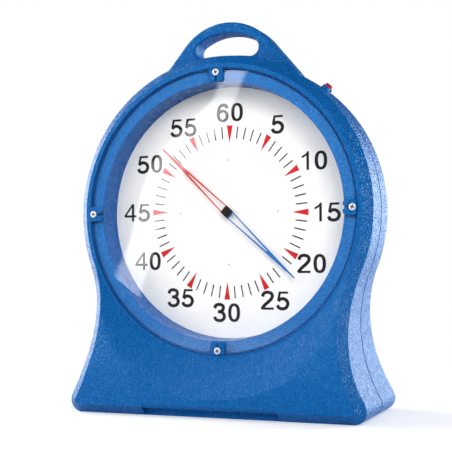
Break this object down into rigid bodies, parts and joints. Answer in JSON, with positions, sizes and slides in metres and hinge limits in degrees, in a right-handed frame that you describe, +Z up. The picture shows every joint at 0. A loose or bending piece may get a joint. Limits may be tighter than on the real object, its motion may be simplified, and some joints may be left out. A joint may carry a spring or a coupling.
{
  "type": "swimming pace clock",
  "caption": "Free-standing pace clock: moulded housing with carrying handle, deep round dial under a clear lens, double sweep hand and a push button.",
  "frame": {"origin": "middle of the rectangle that the foot covers, on the surface that it stands on", "axes": "+X to the right as seen from the front, +Y from the dial to the back, +Z up"},
  "size_m": [0.628, 0.266, 0.7965],
  "materials": {
    "housing_blue": "moulded polyethylene with a fine pebbled texture",
    "clear_lens": "clear polished sheet",
    "seal_rubber": "soft closed-cell foam",
    "stainless": "satin stainless steel",
    "plate_aluminium": "satin",
    "dial_white": "printed semi-gloss sheet",
    "hand_red": "semi-gloss paint",
    "hand_blue": "semi-gloss paint",
    "black_plastic": "fine matt",
    "brass": "turned",
    "gear_plastic": "moulded acetal",
    "cell_jacket": "plain gloss jacket",
    "button_red": "gloss",
    "lead_sheath": "flexible sheath"
  },
  "bodies": {
    "clock": {"housing": "housing_blue", "carrying_handle": "housing_blue", "rear_cover": "housing_blue", "lens_clip_top": "housing_blue", "lens_clip_right": "housing_blue", "lens_clip_bottom": "housing_blue", "lens_clip_left": "housing_blue", "button_collar": "housing_blue", "lens": "clear_lens", "lens_seal": "seal_rubber", "rear_cover_seal": "seal_rubber", "lens_clip_screws": "stainless", "dial_screws": "dial_white", "movement_screws": "stainless", "holder_screws": "stainless", "rear_cover_screws": "stainless", "idler_arbor": "stainless", "motor": "stainless", "battery_contact_positive": "stainless", "battery_contact_negative": "stainless", "button_barrel": "stainless", "motor_plate": "plate_aluminium", "dial": "dial_white", "movement_case": "black_plastic", "movement_cover": "black_plastic", "battery_holder": "black_plastic", "button_switch": "black_plastic", "button_nut": "black_plastic", "shaft_bush": "brass", "stem_nut": "brass", "stem_washer": "brass", "battery_cell": "cell_jacket", "battery_lead": "lead_sheath", "button_lead": "lead_sheath"},
    "hands": {"output_shaft": "stainless", "output_gear": "gear_plastic", "hand_hub": "black_plastic", "red_hand": "hand_red", "blue_hand": "hand_blue"},
    "idler": {"idler_gear": "gear_plastic"},
    "rotor": {"motor_pinion": "gear_plastic"},
    "button": {"button_cap": "button_red"}
  },
  "joints": [
    {"name": "hands_spin", "type": "hinge", "parent": "clock", "child": "hands", "pos_m": [0, -0.026, 0.405], "axis": [0, 1, 0], "continuous": true},
    {"name": "idler_spin", "type": "hinge", "parent": "clock", "child": "idler", "pos_m": [0, -0.004, 0.381], "axis": [0, 1, 0], "continuous": true},
    {"name": "motor_spin", "type": "hinge", "parent": "clock", "child": "rotor", "pos_m": [0.024, 0, 0.381], "axis": [0, 1, 0], "continuous": true},
    {"name": "button_press", "type": "slide", "parent": "clock", "child": "button", "axis": [-0.6561, 0, -0.7547], "range_m": [0, 0.0025], "stiffness_N_per_m": 400, "springref_m": -0.001}
  ],
  "couplings": [
    {"joint": "idler_spin", "follows": "hands_spin", "ratio": -4},
    {"joint": "motor_spin", "follows": "hands_spin", "ratio": 16}
  ]
}
